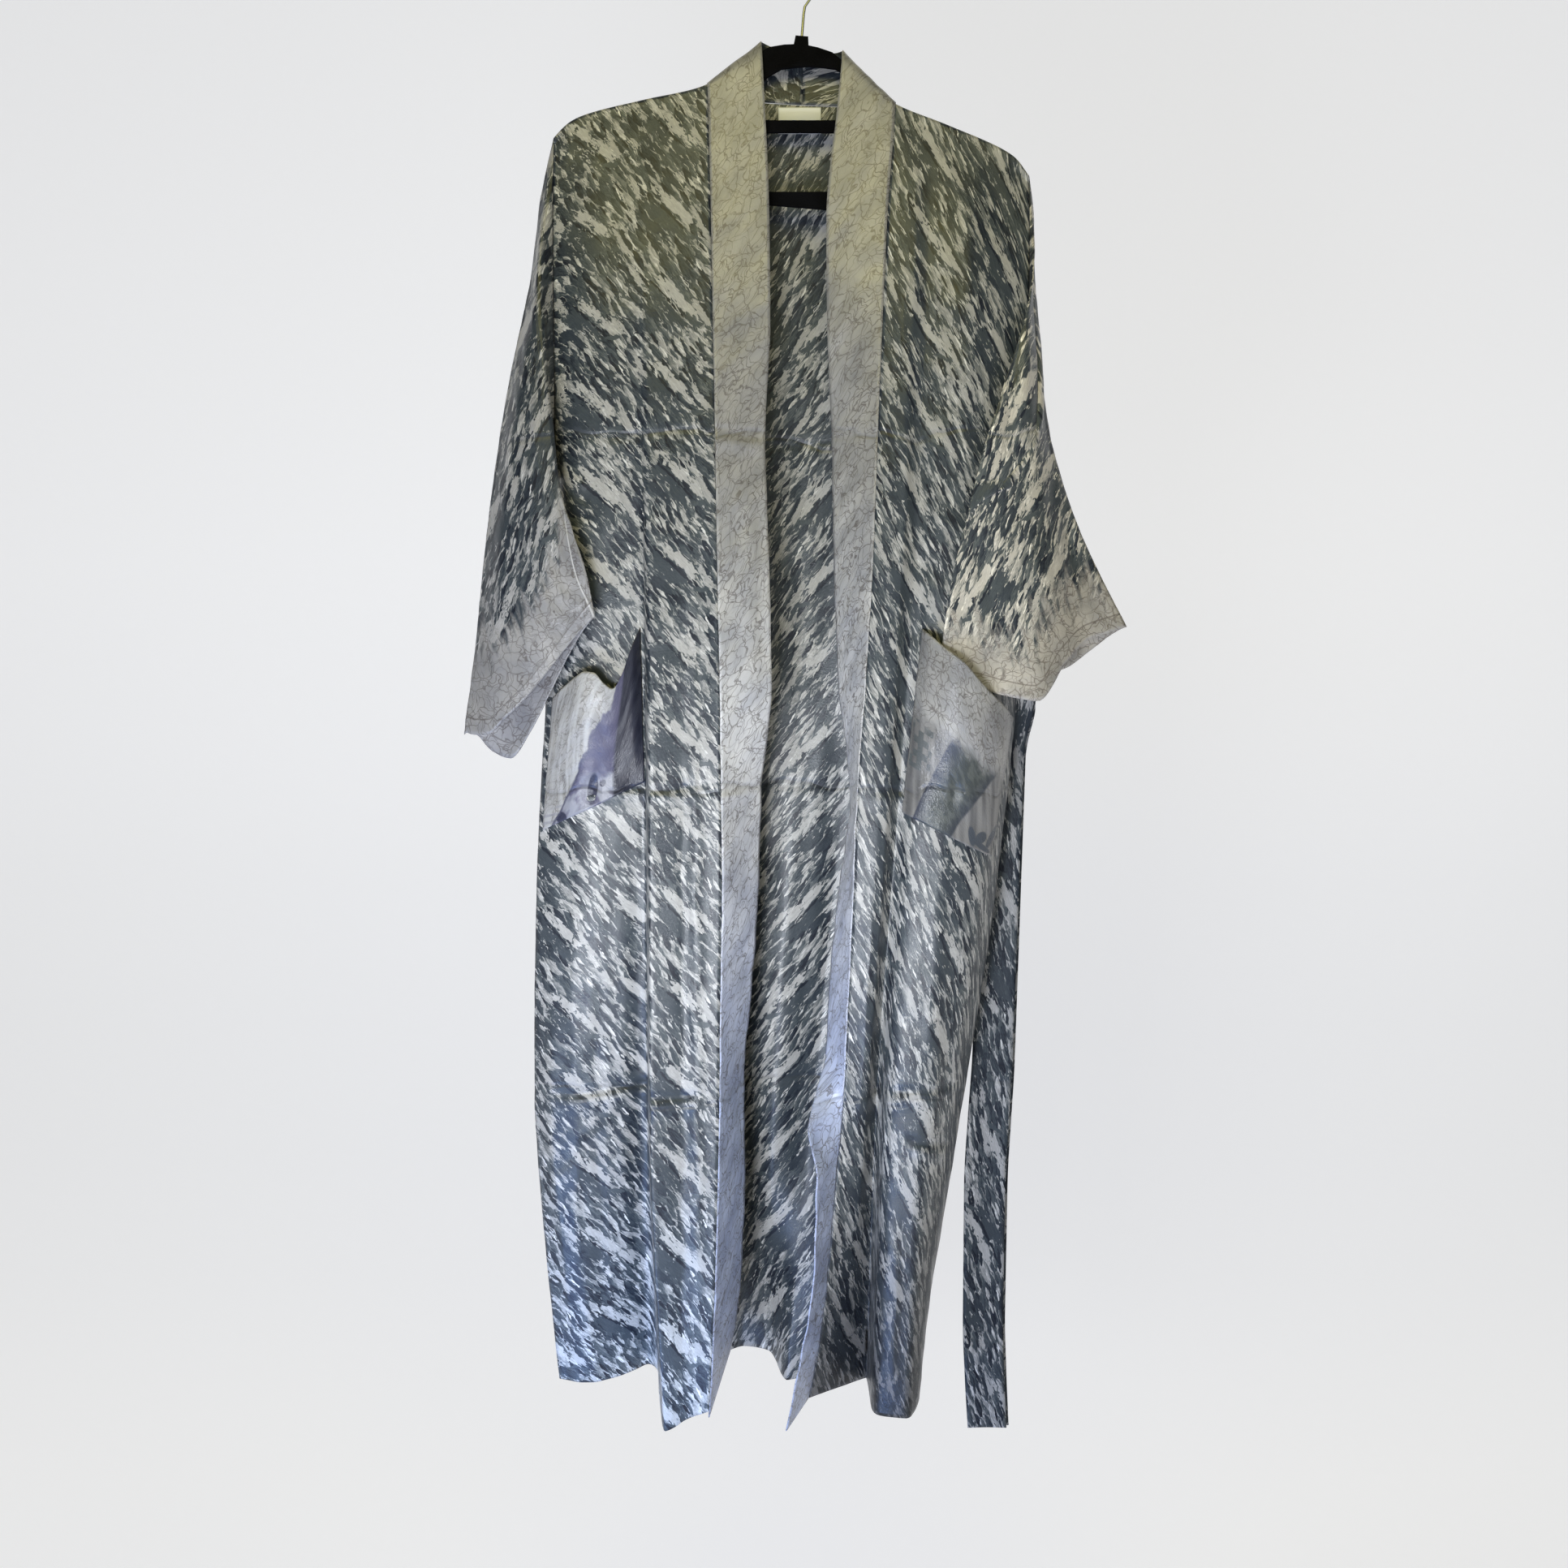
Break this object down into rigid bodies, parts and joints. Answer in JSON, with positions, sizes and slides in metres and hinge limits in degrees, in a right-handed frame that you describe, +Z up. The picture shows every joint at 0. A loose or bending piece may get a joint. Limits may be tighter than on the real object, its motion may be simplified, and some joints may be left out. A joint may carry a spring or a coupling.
{
  "type": "kimono robe on clothes hanger",
  "caption": "Full-length open kimono robe in printed satin, with plain neckband, wide sleeves, patch pockets and a doubled tie belt, hanging on a slim flocked hanger.",
  "frame": {"origin": "inside top of the hanger's hook, where a rail carries it", "axes": "+Z up, +X to the right of a viewer who faces the robe's open front, +Y away from that viewer"},
  "size_m": [0.6481, 0.1569, 1.4546],
  "materials": {
    "printed_satin": "satin weave with a printed all-over leaf pattern",
    "crackle_satin": "satin weave with fine crackle lines",
    "border_satin": "satin weave with a printed border",
    "label_satin": "cream ribbon satin",
    "flocked_black": "black flock",
    "bright_steel": "bright wire"
  },
  "bodies": {
    "root": {"front_left_upper": "printed_satin", "front_left_middle": "printed_satin", "front_left_lower": "printed_satin", "front_right_upper": "printed_satin", "front_right_middle": "printed_satin", "front_right_lower": "printed_satin", "back_left_upper": "printed_satin", "back_left_middle": "printed_satin", "back_left_lower": "printed_satin", "back_right_upper": "printed_satin", "back_right_middle": "printed_satin", "back_right_lower": "printed_satin", "sleeve_left": "printed_satin", "sleeve_right": "printed_satin", "neckband_left_upper": "crackle_satin", "neckband_left_middle": "crackle_satin", "neckband_left_lower": "crackle_satin", "neckband_right_upper": "crackle_satin", "neckband_right_middle": "crackle_satin", "neckband_right_lower": "crackle_satin", "pocket_left": "border_satin", "pocket_right": "border_satin", "belt": "printed_satin", "belt_loop_left": "printed_satin", "belt_loop_right": "printed_satin", "neck_label": "label_satin", "hanger_body": "flocked_black", "hanger_hook": "bright_steel"}
  },
  "joints": []
}
